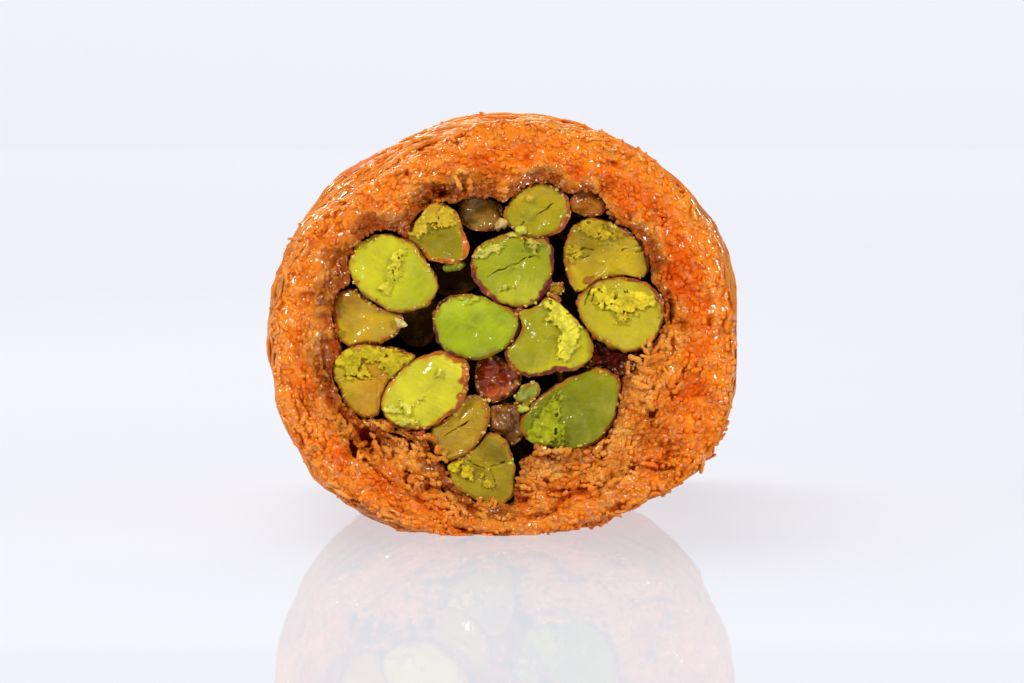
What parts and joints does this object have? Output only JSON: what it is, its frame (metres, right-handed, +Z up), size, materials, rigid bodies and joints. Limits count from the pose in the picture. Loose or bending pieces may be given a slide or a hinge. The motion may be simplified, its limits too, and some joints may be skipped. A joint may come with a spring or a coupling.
{
  "type": "kataifi roll",
  "caption": "Short cut length of a baked shredded pastry roll wound round a packed filling of whole pistachio kernels, lying on its side.",
  "frame": {"origin": "under the middle of the roll, on the surface that it rests on", "axes": "+Z up; +Y along the roll's axis, from the near cut face, which shows in the picture, to the far one; +X to the right as the near cut face is looked at"},
  "size_m": [0.045, 0.0489, 0.04],
  "materials": {
    "pastry": "baked shredded pastry soaked in clear syrup",
    "filling": "packed green kernels, damp with syrup",
    "kernel": "cut and chipped green pistachio kernel",
    "kernel_skin": "wet red-brown kernel skin"
  },
  "bodies": {
    "root": {"kataifi_pastry": "pastry", "pistachio_filling": "filling", "kernel_left_large": "kernel", "kernel_upper_left": "kernel", "kernel_top_right": "kernel", "kernel_top_centre": "kernel", "kernel_right_lower": "kernel", "kernel_right_upper": "kernel", "kernel_centre": "kernel", "kernel_centre_right": "kernel", "kernel_left_lower": "kernel", "kernel_left_sunken": "kernel", "kernel_lower_left": "kernel", "kernel_lower_right": "kernel", "kernel_low_sunken": "kernel", "kernel_bottom": "kernel", "kernel_top_sunken": "kernel", "kernel_red_skin": "kernel_skin", "kernel_dark_skin": "kernel_skin", "kernel_brown_skin": "kernel_skin", "kernel_shard": "kernel", "kernel_chip": "kernel", "kernel_under_crust": "kernel"}
  },
  "joints": []
}
